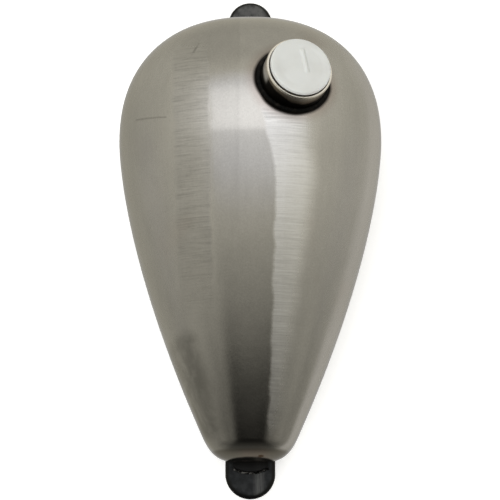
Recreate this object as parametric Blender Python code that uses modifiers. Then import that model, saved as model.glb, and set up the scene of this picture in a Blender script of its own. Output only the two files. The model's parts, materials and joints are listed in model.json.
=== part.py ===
"""A steel motorcycle fuel tank with a teardrop plan, a tunnel for the frame's backbone, two
tongue mounts, a leaning screw-in filler cap and a plugged petcock bung.

Metres. +Y is the tank's front, +X the rider's right, +Z up. The origin is under the middle of
the whole assembly, on the plane that the flat bottom rests on.
"""
import math

import bmesh
import bpy
from mathutils import Matrix, Vector
from mathutils.bvhtree import BVHTree

MM = 0.001

# Sheet, clearances and mesh fineness
WALL = 1.6 * MM            # 16 gauge sheet
GAP = 0.3 * MM             # left between two pieces that touch
STATIONS = 30              # sections along the body
SECTION_SIDES = 36         # points round one section
TURNED_SIDES = 32          # sides of a turned piece

# Body, in plan
BODY_LENGTH = 432 * MM
BODY_WIDTH = 256 * MM
FRONT_TAB_OUT = 42 * MM    # from the body's front end to the front tongue's tip
REAR_TAB_OUT = 33 * MM
FRONT_Y = (BODY_LENGTH + REAR_TAB_OUT - FRONT_TAB_OUT) / 2
TAIL_Y = FRONT_Y - BODY_LENGTH
WIDEST_BACK = 124 * MM     # from the front end to the widest section
WIDEST_Y = FRONT_Y - WIDEST_BACK
FRONT_PLAN_POWER = 2.3     # superellipse power of the front, 2 is an ellipse
TAPER = 0.73               # share of the width lost from the widest section to the tail
TAPER_POWER = 1.56
TAIL_PLAN_ROUND = 30 * MM  # length of the rounding of the tail's corners
TAIL_PLAN_POWER = 4

# Body, in side view
CROWN_Z = 178 * MM
CROWN_BACK = 142 * MM      # from the front end to the highest section
CROWN_Y = FRONT_Y - CROWN_BACK
NOSE_Z = 80 * MM           # height of the foremost point
NOSE_POWER = 2.15
TAIL_Z = 52 * MM           # height of the hindmost point
TAIL_TOP_Z = 84 * MM       # top line, carried on to the tail's end
TAIL_UNDER_Z = 14 * MM     # underside, carried on to the tail's end
TOP_LINE_POWER = 1.5
TAIL_END_ROUND = 16 * MM
KEEL_Z = -26 * MM          # lowest the sides would reach if the flat bottom didn't cut them
FRONT_UNDER_ROUND = 96 * MM
TAIL_UNDER_RISE = 120 * MM  # length over which the underside climbs to the tail
UPPER_POWER = 2.15         # section above its widest level
LOWER_POWER = 2.5          # section below it

# Seams between the pressed panels
SEAM_FRONT_X = 40 * MM
SEAM_TAIL_X = 23 * MM
TAIL_PLATE_DEPTH = 9 * MM
SEAM_BEAD_R = 1.5 * MM
LEFT_BEAD_BACK = 46 * MM   # from the front end to the left bead's start
RIGHT_BEAD_BACK = 46 * MM  # from the neck's axis to the right bead's start
BEAD_TAIL_GAP = 36 * MM    # from the beads' end to the tail's end
SEAM_POINTS = 16

# Tunnel over the frame's backbone
TUNNEL_WIDTH = 52 * MM     # inside
TUNNEL_HEIGHT = 36 * MM    # inside, to the roof
TUNNEL_CORNER_R = 10 * MM  # inside

# Tongue mounts, with the doubler plate between each tongue and the tunnel's roof
FRONT_TAB_CLEARANCE = 4 * MM  # from each side of the tongue to the tunnel's side
REAR_TAB_CLEARANCE = 2 * MM
FRONT_TAB_WIDTH = TUNNEL_WIDTH - 2 * FRONT_TAB_CLEARANCE
REAR_TAB_WIDTH = TUNNEL_WIDTH - 2 * REAR_TAB_CLEARANCE
TAB_LAP = 55 * MM          # under the tunnel's roof, from the tank's end
TAB_THICK = 3 * MM
TAB_ROLL = 6 * MM          # width of the rolled-down rim
TAB_DROP = 4.5 * MM        # how far the rim rolls down
TAB_ROUND_POINTS = 14
DOUBLER_THICK = 2 * MM
DOUBLER_SIDE = 7 * MM      # from a doubler's side to its tongue's side
DOUBLER_OUT = 7 * MM
DOUBLER_END_R = 33 * MM
TAB_BEAD_R = 1.1 * MM

# Filler neck, along its own leaning axis; heights are from its foot on the body
NECK_X = 40 * MM
NECK_BACK = 91 * MM        # from the front end
NECK_Y = FRONT_Y - NECK_BACK
NECK_AXIS = Vector((0.257, 0.171, 0.952)).normalized()
NECK_BORE_D = 48 * MM
NECK_SKIRT = 14 * MM       # depth below its foot, through the hole in the body
NECK_TOP = 20.5 * MM
NECK_CHAMFER = 0.8 * MM
SEAT_LEDGE = 3.3 * MM      # width of the counterbore's ledge, which the gasket lies on
SEAT_DEPTH = 2 * MM
SEAT_D = NECK_BORE_D + 2 * SEAT_LEDGE
NECK_RIM = 3.9 * MM        # wall round the counterbore
NECK_OUTER_D = SEAT_D + 2 * NECK_RIM
NECK_BEAD_R = 2.7 * MM
NECK_BEAD_POINTS = 36
GASKET_CLEARANCE = 0.5 * MM
GASKET_D = SEAT_D - 2 * GASKET_CLEARANCE
GASKET_THICK = 1.7 * MM

# Filler cap
CAP_INSET = 2.6 * MM       # the neck's rim shows this far outside the cap
CAP_D = NECK_OUTER_D - 2 * CAP_INSET
CAP_THICK = 5.5 * MM
CAP_EDGE_R = 1.5 * MM
CAP_WEB = 3.2 * MM         # thickness of its top over the hollow plug
PLUG_CLEARANCE = 0.6 * MM  # round the plug, which stands in for the thread
PLUG_WALL = 2.6 * MM
PLUG_DEPTH = 16 * MM
RIDGE_LENGTH = 25 * MM
RIDGE_WIDTH = 4.6 * MM
RIDGE_HEIGHT = 1.3 * MM
RIDGE_TURN = math.radians(9)
RIDGE_RIGHT = 3.4 * MM     # from the cap's axis to the ridge's middle
RIDGE_AHEAD = 5.5 * MM
RIDGE_SINK = 0.5 * MM      # how far the ridge's block reaches into the cap

# Petcock bung with its plug, in the left bottom plate
BUNG_BORE_D = 12.4 * MM
BUNG_HEIGHT = 14 * MM
BUNG_WALL = 2.7 * MM       # round the recess for the plug's head
SHANK_CLEARANCE = 0.4 * MM  # round the plug's shank, which stands in for the thread
HEAD_LEDGE = 2.5 * MM      # how far the plug's head reaches past the bore
HEAD_CLEARANCE = 0.6 * MM
PLUG_SHANK_D = BUNG_BORE_D - 2 * SHANK_CLEARANCE
PLUG_HEAD_D = BUNG_BORE_D + 2 * HEAD_LEDGE
PLUG_HEAD = 2 * MM
PLUG_LENGTH = 10.5 * MM
PLUG_SINK = 0.5 * MM       # the head's face above the tank's bottom
HEX_ACROSS = 7 * MM
HEX_DEPTH = 6 * MM
WASHER_THICK = 1.1 * MM
BUNG_RECESS_D = PLUG_HEAD_D + 2 * HEAD_CLEARANCE
BUNG_RECESS = PLUG_SINK + PLUG_HEAD + WASHER_THICK + 2 * GAP
BUNG_D = BUNG_RECESS_D + 2 * BUNG_WALL
BUNG_FROM_TUNNEL = 12.4 * MM
BUNG_FROM_TAIL = 158.5 * MM
BUNG_X = -(TUNNEL_WIDTH / 2 + WALL + BUNG_FROM_TUNNEL + BUNG_D / 2)
BUNG_Y = TAIL_Y + BUNG_FROM_TAIL


def clear_scene():
    for old in list(bpy.data.objects):
        bpy.data.objects.remove(old)


def collection(name):
    made = bpy.data.collections.new(name)
    bpy.context.scene.collection.children.link(made)
    return made


clear_scene()
PARTS = collection("fuel_tank")
CUTTERS = collection("cutters")


def material(name, colour, roughness, metallic):
    made = bpy.data.materials.new(name)
    made.use_nodes = True
    shader = made.node_tree.nodes["Principled BSDF"]
    shader.inputs["Base Color"].default_value = (*colour, 1)
    shader.inputs["Roughness"].default_value = roughness
    shader.inputs["Metallic"].default_value = metallic
    return made


STEEL = material("brushed_steel", (0.42, 0.40, 0.37), 0.38, 1)
TURNED_STEEL = material("turned_steel", (0.46, 0.44, 0.41), 0.3, 1)
SCALE = material("black_scale_steel", (0.03, 0.03, 0.032), 0.5, 0.6)
WELD = material("weld_metal", (0.12, 0.10, 0.08), 0.45, 1)
CAP_PLASTIC = material("white_plastic", (0.8, 0.8, 0.77), 0.45, 0)
PLUG_PLASTIC = material("red_plastic", (0.45, 0.03, 0.02), 0.45, 0)
RUBBER = material("black_rubber", (0.02, 0.02, 0.02), 0.8, 0)


# ---------------------------------------------------------------- helpers

def place(thing, group=PARTS, finish=None):
    """Links an object and gives it its material. A cutter is hidden from the render."""
    group.objects.link(thing)
    if finish:
        thing.data.materials.append(finish)
    if group is CUTTERS:
        thing.hide_render = True
        thing.display_type = "WIRE"
    return thing


def object_from(shape, name, group=PARTS, finish=None):
    """An object from a bmesh, which is freed."""
    mesh = bpy.data.meshes.new(name)
    shape.to_mesh(mesh)
    shape.free()
    return place(bpy.data.objects.new(name, mesh), group, finish)


def smooth(thing):
    thing.data.shade_smooth()
    thing.data.set_sharp_from_angle(angle=math.radians(30))


def boolean(thing, operation, cutter):
    cut = thing.modifiers.new(f"{operation.lower()}_{cutter.name}", "BOOLEAN")
    cut.operation = operation
    cut.solver = "EXACT"
    cut.object = cutter


def turned(name, profile, finish, group=PARTS, sides=TURNED_SIDES):
    """A piece turned about its own Z. The profile runs down its outer side."""
    mesh = bpy.data.meshes.new(name)
    ring = profile[0][0] > 0
    edges = [(i, i + 1) for i in range(len(profile) - 1)]
    if ring:
        edges.append((len(profile) - 1, 0))
    mesh.from_pydata([(radius, 0, height) for radius, height in profile], edges, [])
    made = place(bpy.data.objects.new(name, mesh), group, finish)
    screw = made.modifiers.new("turn", "SCREW")
    screw.steps = screw.render_steps = sides
    screw.use_merge_vertices = True
    screw.merge_threshold = 0.00001
    return made


def tube(name, points, radius, finish, cyclic=False):
    """A round bar along a line of points, as a mesh with welded caps."""
    line = bpy.data.curves.new(name, "CURVE")
    line.dimensions = "3D"
    line.bevel_depth = radius
    line.bevel_resolution = 2
    line.use_fill_caps = not cyclic
    spline = line.splines.new("POLY")
    spline.points.add(len(points) - 1)
    spline.use_cyclic_u = cyclic
    for point, at in zip(spline.points, points):
        point.co = (*at, 1)
    drawn = bpy.data.objects.new(name + "_line", line)
    PARTS.objects.link(drawn)
    evaluated = drawn.evaluated_get(bpy.context.evaluated_depsgraph_get())
    mesh = bpy.data.meshes.new_from_object(evaluated)
    shape = bmesh.new()
    shape.from_mesh(mesh)
    bmesh.ops.remove_doubles(shape, verts=shape.verts, dist=0.000001)
    bmesh.ops.recalc_face_normals(shape, faces=shape.faces)
    bpy.data.objects.remove(drawn)
    return object_from(shape, name, finish=finish)


def prism(name, outline, y_from, y_to, group=PARTS, finish=None):
    """An outline of (x, z) points carried along Y."""
    shape = bmesh.new()
    face = shape.faces.new([shape.verts.new((x, y_from, z)) for x, z in outline])
    swept = bmesh.ops.extrude_face_region(shape, geom=[face])["geom"]
    moved = [v for v in swept if isinstance(v, bmesh.types.BMVert)]
    bmesh.ops.translate(shape, verts=moved, vec=(0, y_to - y_from, 0))
    bmesh.ops.recalc_face_normals(shape, faces=shape.faces)
    return object_from(shape, name, group, finish)


def flat_plate(name, outline, bottom, thick, finish):
    """A flat plate with this outline of (x, y) points."""
    shape = bpy.data.curves.new(name, "CURVE")
    shape.dimensions = "2D"
    shape.fill_mode = "BOTH"
    shape.extrude = thick / 2
    spline = shape.splines.new("POLY")
    spline.points.add(len(outline) - 1)
    spline.use_cyclic_u = True
    for point, (x, y) in zip(spline.points, outline):
        point.co = (x, y, 0, 1)
    made = place(bpy.data.objects.new(name, shape), finish=finish)
    made.location.z = bottom + thick / 2
    return made


def arc(centre_x, centre_y, radius, start, end, count):
    """Points on an arc, its angles in radians from +X."""
    angles = [start + (end - start) * i / (count - 1) for i in range(count)]
    return [(centre_x + radius * math.cos(a), centre_y + radius * math.sin(a)) for a in angles]


# ---------------------------------------------------------------- body form

def end_round(distance, length, power):
    """1 further than a length from an end, and down to 0 at it, as a superellipse's quarter."""
    share = min(max(1 - distance / length, 0), 1)
    return (1 - share ** power) ** (1 / power)


def half_width(y):
    if y >= WIDEST_Y:
        return BODY_WIDTH / 2 * end_round(FRONT_Y - y, WIDEST_BACK, FRONT_PLAN_POWER)
    back = (WIDEST_Y - y) / (WIDEST_Y - TAIL_Y)
    taper = 1 - TAPER * back ** TAPER_POWER
    return BODY_WIDTH / 2 * taper * end_round(y - TAIL_Y, TAIL_PLAN_ROUND, TAIL_PLAN_POWER)


def top_z(y):
    if y >= CROWN_Y:
        return NOSE_Z + (CROWN_Z - NOSE_Z) * end_round(FRONT_Y - y, CROWN_BACK, NOSE_POWER)
    back = (CROWN_Y - y) / (CROWN_Y - TAIL_Y)
    line = CROWN_Z - (CROWN_Z - TAIL_TOP_Z) * back ** TOP_LINE_POWER
    return TAIL_Z + (line - TAIL_Z) * end_round(y - TAIL_Y, TAIL_END_ROUND, 2)


def under_z(y):
    if y >= 0:
        return NOSE_Z - (NOSE_Z - KEEL_Z) * end_round(FRONT_Y - y, FRONT_UNDER_ROUND, 2)
    climb = min(max(1 - (y - TAIL_Y) / TAIL_UNDER_RISE, 0), 1)
    line = KEEL_Z + (TAIL_UNDER_Z - KEEL_Z) * climb ** 1.5
    return TAIL_Z - (TAIL_Z - line) * end_round(y - TAIL_Y, TAIL_END_ROUND, 2)


def belt_z(y):
    """The level at which a section is widest."""
    return TAIL_Z + (NOSE_Z - TAIL_Z) * (y - TAIL_Y) / BODY_LENGTH


def power_of(value, power):
    return math.copysign(abs(value) ** power, value)


def section(y):
    """The points round the body at y, going from +X over the top."""
    for k in range(SECTION_SIDES):
        angle = 2 * math.pi * k / SECTION_SIDES
        across, up = math.cos(angle), math.sin(angle)
        power = UPPER_POWER if up >= 0 else LOWER_POWER
        reach = top_z(y) - belt_z(y) if up >= 0 else belt_z(y) - under_z(y)
        x = half_width(y) * power_of(across, 2 / power)
        yield x, y, belt_z(y) + reach * power_of(up, 2 / power)


def body_surface(inset=0.0):
    """The closed teardrop before its bottom is cut flat, drawn in by the inset."""
    shape = bmesh.new()
    rings = []
    for i in range(1, STATIONS):
        y = (FRONT_Y + TAIL_Y) / 2 + BODY_LENGTH / 2 * math.cos(math.pi * i / STATIONS)
        rings.append([shape.verts.new(point) for point in section(y)])
    for front, back in zip(rings, rings[1:]):
        for k in range(SECTION_SIDES):
            after = (k + 1) % SECTION_SIDES
            shape.faces.new((front[k], front[after], back[after], back[k]))
    for ring, tip_y, tip_z in ((rings[0], FRONT_Y, NOSE_Z), (rings[-1], TAIL_Y, TAIL_Z)):
        tip = shape.verts.new((0, tip_y, tip_z))
        for k in range(SECTION_SIDES):
            shape.faces.new((tip, ring[k], ring[(k + 1) % SECTION_SIDES]))
    bmesh.ops.recalc_face_normals(shape, faces=shape.faces)
    shape.normal_update()
    for vert in shape.verts:
        vert.co -= vert.normal * inset
    return shape


def body_tree():
    shape = body_surface()
    tree = BVHTree.FromBMesh(shape)
    shape.free()
    return tree


BODY_TREE = body_tree()


def seam_x(y):
    return SEAM_TAIL_X + (SEAM_FRONT_X - SEAM_TAIL_X) * (y - TAIL_Y) / BODY_LENGTH


def seam_cut(side, towards_middle):
    """The upright plane of a seam, half a gap to one side of it: a point and what it cuts off."""
    across = Vector((BODY_LENGTH, SEAM_TAIL_X - SEAM_FRONT_X, 0)).normalized()
    across.x *= side
    point = Vector((side * SEAM_FRONT_X, FRONT_Y, 0))
    outward = across if towards_middle else -across
    return point - outward * GAP / 2, outward


def panel(name, cuts):
    """A pressed panel: the body's surface inside these cuts, thickened inwards."""
    shape = body_surface()
    for point, outward in cuts:
        bmesh.ops.bisect_plane(
            shape,
            geom=[*shape.verts, *shape.edges, *shape.faces],
            plane_co=point,
            plane_no=outward,
            clear_outer=True,
        )
    made = object_from(shape, name, finish=STEEL)
    smooth(made)
    thick = made.modifiers.new("sheet", "SOLIDIFY")
    thick.thickness = WALL
    thick.offset = -1
    thick.use_even_offset = True
    boolean(made, "DIFFERENCE", TUNNEL_CUTTER)
    return made


# ---------------------------------------------------------------- tunnel and cutters

def tunnel_outline(grow):
    """The tunnel's arch, grown from its inside, from the left foot over the roof to the right."""
    half = TUNNEL_WIDTH / 2 - TUNNEL_CORNER_R
    centre_z = TUNNEL_HEIGHT - TUNNEL_CORNER_R
    radius = TUNNEL_CORNER_R + grow
    left = arc(-half, centre_z, radius, math.pi, math.pi / 2, 5)
    right = arc(half, centre_z, radius, math.pi / 2, 0, 5)
    return left + right


def tunnel_cutter():
    foot = -40 * MM
    arch = tunnel_outline(WALL + GAP)
    outline = [(arch[0][0], foot), *arch, (arch[-1][0], foot)]
    return prism("tunnel_cutter", outline, -BODY_LENGTH, BODY_LENGTH, CUTTERS)


def neck_frame():
    """The neck's own frame: its foot on the body above NECK_X, NECK_Y, its Z along the axis
    and its X to the tank's right."""
    foot = BODY_TREE.ray_cast(Vector((NECK_X, NECK_Y, 2 * CROWN_Z)), Vector((0, 0, -1)))[0]
    right = Vector((0, 1, 0)).cross(NECK_AXIS).normalized()
    turn = Matrix((right, NECK_AXIS.cross(right), NECK_AXIS)).transposed()
    return Matrix.Translation(foot) @ turn.to_4x4()


TUNNEL_CUTTER = tunnel_cutter()
NECK_FRAME = neck_frame()


def neck_hole_cutter():
    radius = NECK_OUTER_D / 2 + GAP
    deep = NECK_SKIRT * 2
    made = turned("neck_hole_cutter", [(0, deep), (radius, deep), (radius, -deep), (0, -deep)],
                  None, CUTTERS)
    made.matrix_world = NECK_FRAME
    return made


def body_cutter(name, inset):
    return object_from(body_surface(inset), name, CUTTERS)


NECK_CUTTER = neck_hole_cutter()
BODY_OUTSIDE = body_cutter("body_outside", 0)
BODY_CLEAR = body_cutter("body_clear", -GAP)
BODY_INSIDE = body_cutter("body_inside", WALL + GAP)


# ---------------------------------------------------------------- panels

def pressed_panels():
    floor = (Vector((0, 0, 0)), Vector((0, 0, -1)))
    tail_seam = TAIL_Y + TAIL_PLATE_DEPTH
    ahead = (Vector((0, tail_seam + GAP / 2, 0)), Vector((0, -1, 0)))
    behind = (Vector((0, tail_seam - GAP / 2, 0)), Vector((0, 1, 0)))
    panel("shell_left", [floor, ahead, seam_cut(-1, False)])
    right = panel("shell_right", [floor, ahead, seam_cut(1, False)])
    strip = panel("top_strip", [floor, ahead, seam_cut(-1, True), seam_cut(1, True)])
    panel("tail_plate", [floor, behind])
    boolean(right, "DIFFERENCE", NECK_CUTTER)
    boolean(strip, "DIFFERENCE", NECK_CUTTER)


def tunnel():
    """The channel along the whole tank, its ends flush with the body's outside."""
    inner, outer = tunnel_outline(0), tunnel_outline(WALL)
    outline = [(outer[0][0], 0), *outer, (outer[-1][0], 0),
               (inner[-1][0], 0), *reversed(inner), (inner[0][0], 0)]
    made = prism("tunnel", outline, -BODY_LENGTH, BODY_LENGTH, finish=STEEL)
    boolean(made, "INTERSECT", BODY_OUTSIDE)
    return made


def bottom_plate(name, side):
    """A flat bottom plate between the tunnel and the side shell's lower edge."""
    near, far = TUNNEL_WIDTH / 2 + WALL + GAP, BODY_WIDTH / 2
    outline = [(side * near, 0), (side * far, 0), (side * far, WALL), (side * near, WALL)]
    made = prism(name, outline, TAIL_Y, FRONT_Y, finish=STEEL)
    boolean(made, "INTERSECT", BODY_INSIDE)
    return made


def seam_weld(name, side, from_y):
    """The bead that came through on the inside under a top seam."""
    points = []
    to_y = TAIL_Y + BEAD_TAIL_GAP
    for i in range(SEAM_POINTS):
        y = from_y + (to_y - from_y) * i / (SEAM_POINTS - 1)
        start = Vector((side * seam_x(y), y, 2 * CROWN_Z))
        place_on, normal = BODY_TREE.ray_cast(start, Vector((0, 0, -1)))[:2]
        points.append(place_on - normal * (WALL + 2 * GAP + SEAM_BEAD_R))
    return tube(name, points, SEAM_BEAD_R, WELD)


# ---------------------------------------------------------------- tongue mounts

DOUBLER_TOP = TUNNEL_HEIGHT - GAP
TAB_TOP = DOUBLER_TOP - DOUBLER_THICK - GAP


def tongue_ring(width, inset, tip_y, root_y):
    """One side, the round end and the other side of a tongue that points along +Y."""
    radius = width / 2 - inset
    round_end = arc(0, tip_y - width / 2, radius, 0, math.pi, TAB_ROUND_POINTS)
    return [(radius, root_y), *round_end, (-radius, root_y)]


def tongue(name, width, tip_y, root_y, direction):
    """A pressed steel tongue with a flat middle, its rim rolled down, its end full round."""
    shape = bmesh.new()
    rings = []
    for step in range(5):
        angle = math.pi / 2 * step / 4
        inset = TAB_ROLL * (1 - math.sin(angle))
        drop = TAB_DROP * (1 - math.cos(angle))
        rings.append([shape.verts.new((x, y, TAB_TOP - drop))
                      for x, y in tongue_ring(width, inset, tip_y, root_y)])
    shape.faces.new(rings[0])
    for inner, outer in zip(rings, rings[1:]):
        for k in range(len(inner) - 1):
            shape.faces.new((inner[k], outer[k], outer[k + 1], inner[k + 1]))
    bmesh.ops.scale(shape, verts=shape.verts, vec=(1, direction, 1))
    bmesh.ops.recalc_face_normals(shape, faces=shape.faces)
    if shape.faces[0].normal.z < 0:
        bmesh.ops.reverse_faces(shape, faces=shape.faces)
    made = object_from(shape, name, finish=SCALE)
    smooth(made)
    thick = made.modifiers.new("sheet", "SOLIDIFY")
    thick.thickness = TAB_THICK
    thick.offset = -1
    thick.use_even_offset = True
    return made


def doubler_end(half, end_y, grow=0.0):
    """The arc at a doubler's outer end, half being half of the doubler's width."""
    radius = DOUBLER_END_R + grow
    reach = math.asin(half / DOUBLER_END_R)
    centre_y = end_y + DOUBLER_OUT - DOUBLER_END_R
    return arc(0, centre_y, radius, math.pi / 2 - reach, math.pi / 2 + reach, 9)


def tongue_mount(prefix, width, tab_out, direction):
    """A tongue, the doubler over it and the weld round the doubler's end."""
    end_y = FRONT_Y if direction > 0 else -TAIL_Y
    half = width / 2 - DOUBLER_SIDE
    root_y = end_y - TAB_LAP
    outline = [(half, root_y), *doubler_end(half, end_y), (-half, root_y)]
    outline = [(x, direction * y) for x, y in outline]
    tongue(f"{prefix}_tab", width, end_y + tab_out, root_y, direction)
    flat_plate(f"{prefix}_doubler", outline, DOUBLER_TOP - DOUBLER_THICK, DOUBLER_THICK, SCALE)
    bead = doubler_end(half, end_y, GAP + TAB_BEAD_R)
    bead_z = TAB_TOP + GAP + TAB_BEAD_R
    tube(f"{prefix}_tab_weld", [(x, direction * y, bead_z) for x, y in bead], TAB_BEAD_R, WELD)


# ---------------------------------------------------------------- filler neck and cap

GASKET_LOW = NECK_TOP - SEAT_DEPTH + GAP
CAP_LOW = GASKET_LOW + GASKET_THICK + GAP


def on_neck(made):
    """Stands a turned piece on the neck's axis, under its empty."""
    made.parent = NECK_EMPTY
    return made


def neck_empty():
    made = bpy.data.objects.new("neck_axis", None)
    PARTS.objects.link(made)
    made.matrix_world = NECK_FRAME
    return made


NECK_EMPTY = neck_empty()


def filler_neck():
    outer, bore, seat = NECK_OUTER_D / 2, NECK_BORE_D / 2, SEAT_D / 2
    profile = [
        (outer - NECK_CHAMFER, NECK_TOP),
        (outer, NECK_TOP - NECK_CHAMFER),
        (outer, -NECK_SKIRT),
        (bore, -NECK_SKIRT),
        (bore, NECK_TOP - SEAT_DEPTH),
        (seat, NECK_TOP - SEAT_DEPTH),
        (seat, NECK_TOP),
    ]
    return on_neck(turned("filler_neck", profile, TURNED_STEEL))


def cap_gasket():
    outer, inner = GASKET_D / 2, NECK_BORE_D / 2
    low, high = GASKET_LOW, GASKET_LOW + GASKET_THICK
    return on_neck(turned("cap_gasket", [(outer, high), (outer, low), (inner, low), (inner, high)],
                          RUBBER))


def filler_cap():
    """A disc over the neck's rim, with a hollow plug down the bore and a low thumb ridge."""
    rim, top = CAP_D / 2, CAP_LOW + CAP_THICK
    plug = NECK_BORE_D / 2 - PLUG_CLEARANCE
    hollow = plug - PLUG_WALL
    edge = arc(rim - CAP_EDGE_R, top - CAP_EDGE_R, CAP_EDGE_R, math.pi / 2, 0, 4)
    profile = [
        (0, top),
        *edge,
        (rim, CAP_LOW),
        (plug, CAP_LOW),
        (plug, CAP_LOW - PLUG_DEPTH),
        (hollow, CAP_LOW - PLUG_DEPTH),
        (hollow, top - CAP_WEB),
        (0, top - CAP_WEB),
    ]
    made = on_neck(turned("filler_cap", profile, CAP_PLASTIC))
    low, high = top - RIDGE_SINK, top + RIDGE_HEIGHT
    half_l, half_w = RIDGE_LENGTH / 2, RIDGE_WIDTH / 2
    flank = RIDGE_WIDTH / 4
    outline = [(-half_w, low), (half_w, low), (half_w - flank, high), (flank - half_w, high)]
    ridge = prism("ridge_block", outline, -half_l, half_l, CUTTERS)
    middle = Matrix.Translation((RIDGE_RIGHT, RIDGE_AHEAD, 0))
    ridge.matrix_world = NECK_FRAME @ middle @ Matrix.Rotation(RIDGE_TURN, 4, "Z")
    boolean(made, "UNION", ridge)
    return made


def neck_weld():
    """The bead round the neck's foot, which follows the body's surface."""
    points = []
    radius = NECK_OUTER_D / 2 + NECK_BEAD_R / 2
    for i in range(NECK_BEAD_POINTS):
        angle = 2 * math.pi * i / NECK_BEAD_POINTS
        spoke = Vector((radius * math.cos(angle), radius * math.sin(angle), CROWN_Z))
        hit = BODY_TREE.ray_cast(NECK_FRAME @ spoke, -NECK_AXIS)[0]
        points.append(hit)
    made = tube("neck_weld", points, NECK_BEAD_R, WELD, cyclic=True)
    boolean(made, "DIFFERENCE", BODY_CLEAR)
    boolean(made, "DIFFERENCE", NECK_CUTTER)
    return made


# ---------------------------------------------------------------- petcock bung and plug

def bung_hole_cutter():
    radius = BUNG_D / 2 + GAP
    high, low = BUNG_HEIGHT, -BUNG_HEIGHT
    made = turned("bung_hole_cutter", [(0, high), (radius, high), (radius, low), (0, low)],
                  None, CUTTERS)
    made.location = (BUNG_X, BUNG_Y, 0)
    return made


def hex_cutter():
    """The hexagonal socket in the plug's face."""
    radius = HEX_ACROSS / math.sqrt(3)
    high, low = PLUG_SINK + HEX_DEPTH, -HEX_DEPTH
    made = turned("hex_cutter", [(0, high), (radius, high), (radius, low), (0, low)],
                  None, CUTTERS, sides=6)
    made.location = (BUNG_X, BUNG_Y, 0)
    return made


def petcock_bung():
    outer, bore, recess = BUNG_D / 2, BUNG_BORE_D / 2, BUNG_RECESS_D / 2
    profile = [
        (outer, BUNG_HEIGHT),
        (outer, 0),
        (recess, 0),
        (recess, BUNG_RECESS),
        (bore, BUNG_RECESS),
        (bore, BUNG_HEIGHT),
    ]
    made = turned("petcock_bung", profile, TURNED_STEEL, sides=24)
    made.location = (BUNG_X, BUNG_Y, 0)
    return made


def thread_plug():
    head, shank = PLUG_HEAD_D / 2, PLUG_SHANK_D / 2
    shoulder = PLUG_SINK + PLUG_HEAD
    profile = [
        (0, PLUG_SINK + PLUG_LENGTH),
        (shank, PLUG_SINK + PLUG_LENGTH),
        (shank, shoulder),
        (head, shoulder),
        (head, PLUG_SINK),
        (0, PLUG_SINK),
    ]
    made = turned("thread_plug", profile, PLUG_PLASTIC, sides=24)
    made.location = (BUNG_X, BUNG_Y, 0)
    boolean(made, "DIFFERENCE", hex_cutter())
    return made


def plug_washer():
    low = PLUG_SINK + PLUG_HEAD + GAP
    outer, inner = PLUG_HEAD_D / 2, BUNG_BORE_D / 2
    profile = [(outer, low + WASHER_THICK), (outer, low), (inner, low),
               (inner, low + WASHER_THICK)]
    made = turned("plug_washer", profile, RUBBER, sides=24)
    made.location = (BUNG_X, BUNG_Y, 0)
    return made


# ---------------------------------------------------------------- assembly

pressed_panels()
tunnel()
left_plate = bottom_plate("bottom_left", -1)
boolean(left_plate, "DIFFERENCE", bung_hole_cutter())
bottom_plate("bottom_right", 1)
seam_weld("seam_weld_left", -1, FRONT_Y - LEFT_BEAD_BACK)
seam_weld("seam_weld_right", 1, NECK_Y - RIGHT_BEAD_BACK)
tongue_mount("front", FRONT_TAB_WIDTH, FRONT_TAB_OUT, 1)
tongue_mount("rear", REAR_TAB_WIDTH, REAR_TAB_OUT, -1)
filler_neck()
cap_gasket()
filler_cap()
neck_weld()
petcock_bung()
plug_washer()
thread_plug()
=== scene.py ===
import json
import math

import bmesh
import bpy
from mathutils import Matrix, Vector, noise
from mathutils.bvhtree import BVHTree


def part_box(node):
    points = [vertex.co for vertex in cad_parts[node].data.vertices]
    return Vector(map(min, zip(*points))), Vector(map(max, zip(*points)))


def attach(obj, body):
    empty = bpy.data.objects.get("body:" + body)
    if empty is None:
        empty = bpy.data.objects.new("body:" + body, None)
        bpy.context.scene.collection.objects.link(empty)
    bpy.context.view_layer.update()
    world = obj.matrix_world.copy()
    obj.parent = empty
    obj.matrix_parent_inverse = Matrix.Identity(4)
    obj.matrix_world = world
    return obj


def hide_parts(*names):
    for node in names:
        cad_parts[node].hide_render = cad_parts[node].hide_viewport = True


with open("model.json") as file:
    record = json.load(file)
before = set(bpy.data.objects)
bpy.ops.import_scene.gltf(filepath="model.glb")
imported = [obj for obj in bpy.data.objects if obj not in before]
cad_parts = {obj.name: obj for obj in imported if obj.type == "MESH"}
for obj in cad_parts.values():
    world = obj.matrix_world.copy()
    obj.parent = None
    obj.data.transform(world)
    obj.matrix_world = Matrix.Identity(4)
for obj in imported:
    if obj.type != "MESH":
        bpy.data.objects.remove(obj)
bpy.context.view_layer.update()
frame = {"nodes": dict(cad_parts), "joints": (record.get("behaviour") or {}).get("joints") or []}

MM = 0.001


# ---------------------------------------------------------------- sizes shared with the frame

def joint(name):
    return next(j for j in frame["joints"] if j["name"] == name)


WALL = 1.6 * MM
HAIR = 0.01 * MM           # left between two panels that meet in a ground seam
FRONT_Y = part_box("top_strip")[1].y
TAIL_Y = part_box("tail_plate")[0].y
BODY_LENGTH = FRONT_Y - TAIL_Y
BODY_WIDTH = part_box("shell_right")[1].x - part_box("shell_left")[0].x
WIDEST_Y = FRONT_Y - 124 * MM
CROWN_Y = FRONT_Y - 142 * MM
CROWN_Z = 178 * MM
NOSE_Z = 80 * MM
TAIL_Z = 52 * MM
TAIL_TOP_Z = 84 * MM
TAIL_UNDER_Z = 14 * MM
KEEL_Z = -26 * MM
TAIL_PLATE_DEPTH = 9 * MM
SEAM_FRONT_X = 40 * MM
SEAM_TAIL_X = 23 * MM

TUNNEL_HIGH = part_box("tunnel")[1]
TUNNEL_HALF = TUNNEL_HIGH.x - WALL
TUNNEL_ROOF = TUNNEL_HIGH.z - WALL
TUNNEL_CORNER_R = 10 * MM

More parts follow.
